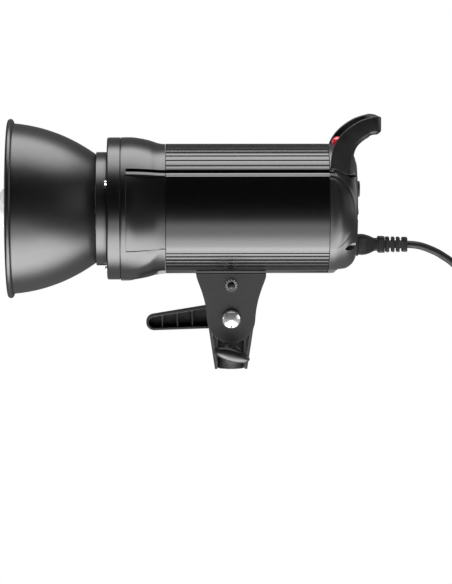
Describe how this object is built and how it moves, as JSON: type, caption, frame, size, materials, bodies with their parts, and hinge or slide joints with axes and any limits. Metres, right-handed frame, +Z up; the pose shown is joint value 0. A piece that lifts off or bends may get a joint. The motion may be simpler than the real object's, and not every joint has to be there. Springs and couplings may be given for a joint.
{
  "type": "studio monolight strobe",
  "caption": "Black cylindrical studio flash head with a bowl reflector, rear handle, mains lead and a tilting stand bracket with clamp lever and lock knob.",
  "frame": {"origin": "centre of the stand socket's lower face", "axes": "+Z up along the stand spigot, +X along the lamp axis from the reflector mouth to the rear panel, -Y towards the side with the lock knob"},
  "size_m": [0.4676, 0.1788, 0.2547],
  "materials": {
    "housing": "satin moulded black",
    "extrusion": "satin black paint on an extrusion",
    "bowl": "satin black paint outside, silver inside",
    "bracket": "fine-textured dark grey paint on a casting",
    "grip": "matt black",
    "rubber": "matt black",
    "chrome": "polished",
    "steel": "zinc plated",
    "aluminium": "satin",
    "ceramic": "matt white",
    "frosted": "frosted",
    "clear": "clear",
    "display": "dark window",
    "red": "translucent red",
    "board": "lacquered board",
    "sleeve": "shrink sleeve",
    "winding": "varnished copper winding"
  },
  "bodies": {
    "stand_socket_body": {"stand_socket": "bracket", "friction_washer_near": "steel", "friction_washer_far": "steel"},
    "head": {"front_ring": "housing", "locating_stud_low": "chrome", "locating_stud_far": "chrome", "front_bell": "housing", "body_tube": "extrusion", "rear_shell": "housing", "control_panel": "grip", "display_window": "display", "sync_jack": "steel", "rocker_bezel": "rubber", "mains_inlet": "rubber", "rear_screw_near_low": "steel", "rear_screw_near_high": "steel", "rear_screw_far_low": "steel", "rear_screw_far_high": "steel", "handle": "grip", "slave_sensor_dome": "red", "carrier_plate": "aluminium", "lamp_socket": "ceramic", "flash_tube": "clear", "capacitor_near": "sleeve", "capacitor_far": "sleeve", "charger_board": "board", "transformer": "winding", "fan_frame": "grip", "tilt_bracket": "bracket", "bracket_screw_1": "steel", "bracket_screw_2": "steel", "bracket_screw_3": "steel", "bracket_screw_4": "steel", "pivot_bolt": "chrome", "toothed_washer": "steel", "cross_pin": "rubber"},
    "lock_knob_body": {"lock_knob": "grip"},
    "lock_screw_body": {"lock_screw": "steel"},
    "tilt_lever_body": {"tilt_lever": "grip", "lever_nut": "steel"},
    "reflector_body": {"reflector_bowl": "bowl", "bayonet_collar": "bowl"},
    "lock_pin_body": {"reflector_lock_pin": "chrome"},
    "dial_body": {"power_dial": "grip"},
    "lamp_button_body": {"lamp_button": "grip"},
    "slave_button_body": {"slave_button": "grip"},
    "test_button_body": {"test_button": "red"},
    "rocker_body": {"power_rocker": "rubber"},
    "fuse_cap_body": {"fuse_cap": "rubber"},
    "mains_lead_body": {"mains_plug": "rubber", "strain_relief": "rubber", "mains_lead": "rubber"},
    "fan_rotor_body": {"fan_rotor": "grip"},
    "modelling_lamp_body": {"modelling_lamp_glass": "frosted", "modelling_lamp_cap": "aluminium"}
  },
  "joints": [
    {"name": "head_tilt", "type": "hinge", "parent": "stand_socket_body", "child": "head", "pos_m": [0, 0, 0.051], "axis": [0, 1, 0], "range_deg": [-90, 90]},
    {"name": "tilt_lever_turn", "type": "hinge", "parent": "head", "child": "tilt_lever_body", "pos_m": [0, 0, 0.051], "axis": [0, 1, 0], "range_deg": [-110, 30]},
    {"name": "lock_knob_turn", "type": "hinge", "parent": "stand_socket_body", "child": "lock_knob_body", "pos_m": [0, 0, 0.017], "axis": [0, 1, 0], "range_deg": [0, 360]},
    {"name": "lock_screw_travel", "type": "slide", "parent": "stand_socket_body", "child": "lock_screw_body", "axis": [0, 1, 0], "range_m": [0, 0.00101]},
    {"name": "reflector_twist", "type": "hinge", "parent": "head", "child": "reflector_body", "pos_m": [-0.12, 0, 0.16], "axis": [1, 0, 0], "range_deg": [0, 30]},
    {"name": "lock_pin_travel", "type": "slide", "parent": "head", "child": "lock_pin_body", "axis": [1, 0, 0], "range_m": [0, 0.003]},
    {"name": "dial_turn", "type": "hinge", "parent": "head", "child": "dial_body", "pos_m": [0.126, -0.018, 0.1803], "axis": [1, 0, 0], "continuous": true},
    {"name": "lamp_button_press", "type": "slide", "parent": "head", "child": "lamp_button_body", "axis": [-1, 0, 0], "range_m": [0, 0.0008]},
    {"name": "slave_button_press", "type": "slide", "parent": "head", "child": "slave_button_body", "axis": [-1, 0, 0], "range_m": [0, 0.0008]},
    {"name": "test_button_press", "type": "slide", "parent": "head", "child": "test_button_body", "axis": [-1, 0, 0], "range_m": [0, 0.0008]},
    {"name": "rocker_tip", "type": "hinge", "parent": "head", "child": "rocker_body", "pos_m": [0.121, -0.017, 0.124], "axis": [0, 1, 0], "range_deg": [0, 14]},
    {"name": "fuse_cap_turn", "type": "hinge", "parent": "head", "child": "fuse_cap_body", "pos_m": [0.126, 0.018, 0.155], "axis": [1, 0, 0], "range_deg": [0, 90]},
    {"name": "plug_withdraw", "type": "slide", "parent": "head", "child": "mains_lead_body", "axis": [1, 0, 0], "range_m": [0, 0.02]},
    {"name": "fan_spin", "type": "hinge", "parent": "head", "child": "fan_rotor_body", "pos_m": [0.085, 0, 0.16], "axis": [1, 0, 0], "continuous": true},
    {"name": "lamp_unscrew", "type": "hinge", "parent": "head", "child": "modelling_lamp_body", "pos_m": [-0.14, 0, 0.16], "axis": [1, 0, 0], "continuous": true}
  ],
  "couplings": [
    {"joint": "lock_screw_travel", "follows": "lock_knob_turn", "m_per_rad": 0.00015915}
  ]
}
